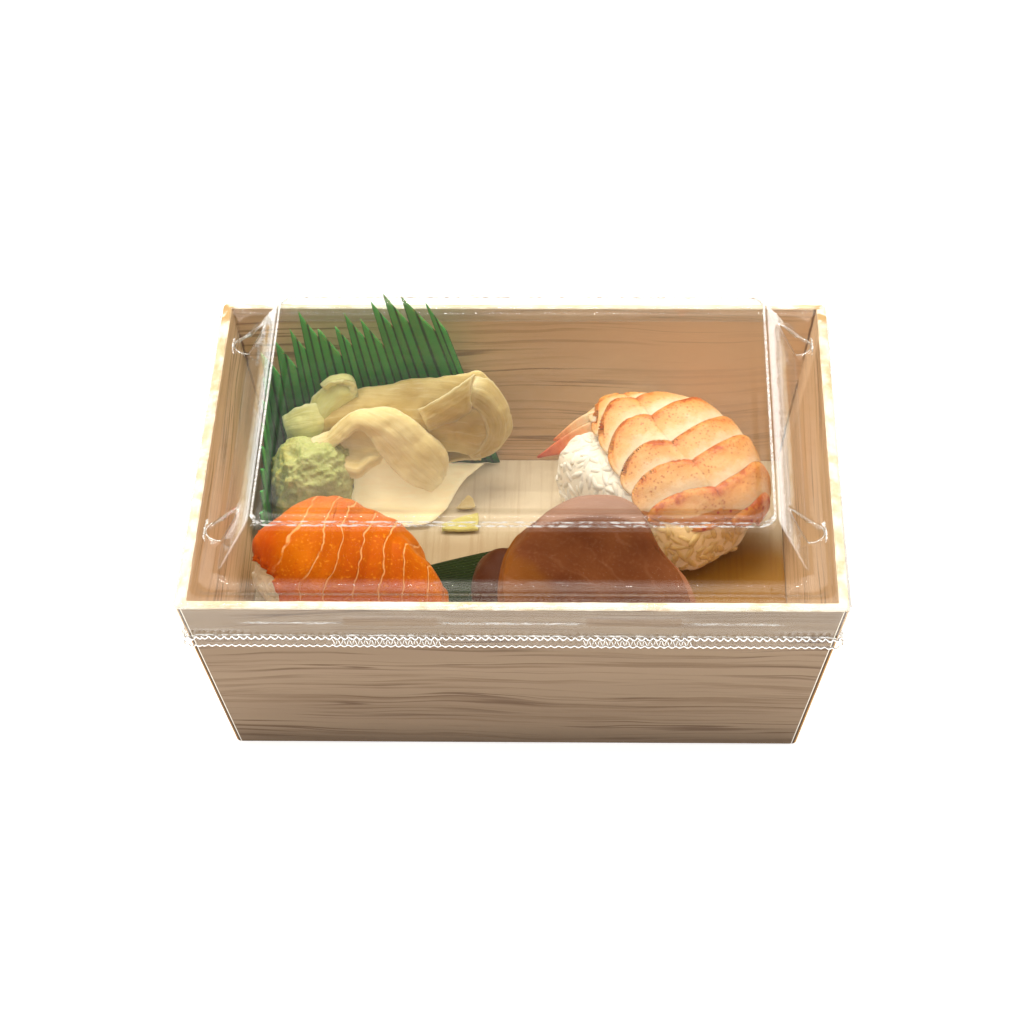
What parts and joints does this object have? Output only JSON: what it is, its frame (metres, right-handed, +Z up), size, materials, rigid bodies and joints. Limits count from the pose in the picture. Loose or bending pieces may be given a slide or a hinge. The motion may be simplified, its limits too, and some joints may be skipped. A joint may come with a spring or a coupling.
{
  "type": "takeaway sushi tray",
  "caption": "Wood-print board tray of nigiri, pickled ginger, wasabi and a green grass divider under a clear push-on lid.",
  "frame": {"origin": "under the middle of the tray, at the foot of its walls", "axes": "+X along the long side to the viewer's right, -Y to the front long side, +Z up through the lid"},
  "size_m": [0.1818, 0.1448, 0.0745],
  "materials": {
    "wood_print_board": "matt board printed with fine level wood grain, cream at the cut rim",
    "pale_wood_print": "matt board with a pale wood-grain print",
    "clear_plastic": "thin clear thermoformed sheet, glossy",
    "leaf": "dark green cut leaf, satin",
    "rice": "pressed cooked rice",
    "salmon": "moist raw salmon with pale fat lines",
    "tuna": "moist raw tuna, brownish red",
    "shrimp": "cooked shrimp, orange bands on cream",
    "ginger": "translucent pickled ginger, moist",
    "ginger_scrap": "yellow-green scrap of ginger, moist",
    "wasabi": "rough pale green paste",
    "grass_plastic": "thin green plastic film"
  },
  "bodies": {
    "root": {"tray_walls": "wood_print_board", "tray_floor": "pale_wood_print", "lid": "clear_plastic", "leaf_strip": "leaf", "salmon_rice": "rice", "salmon_slice": "salmon", "tuna_rice": "rice", "tuna_slice": "tuna", "shrimp_rice": "rice", "shrimp": "shrimp", "wasabi": "wasabi", "ginger_roll": "ginger", "ginger_fold": "ginger", "ginger_petal": "ginger", "ginger_curl": "ginger", "ginger_slab": "ginger", "ginger_scrap": "ginger_scrap", "grass_divider": "grass_plastic"}
  },
  "joints": []
}
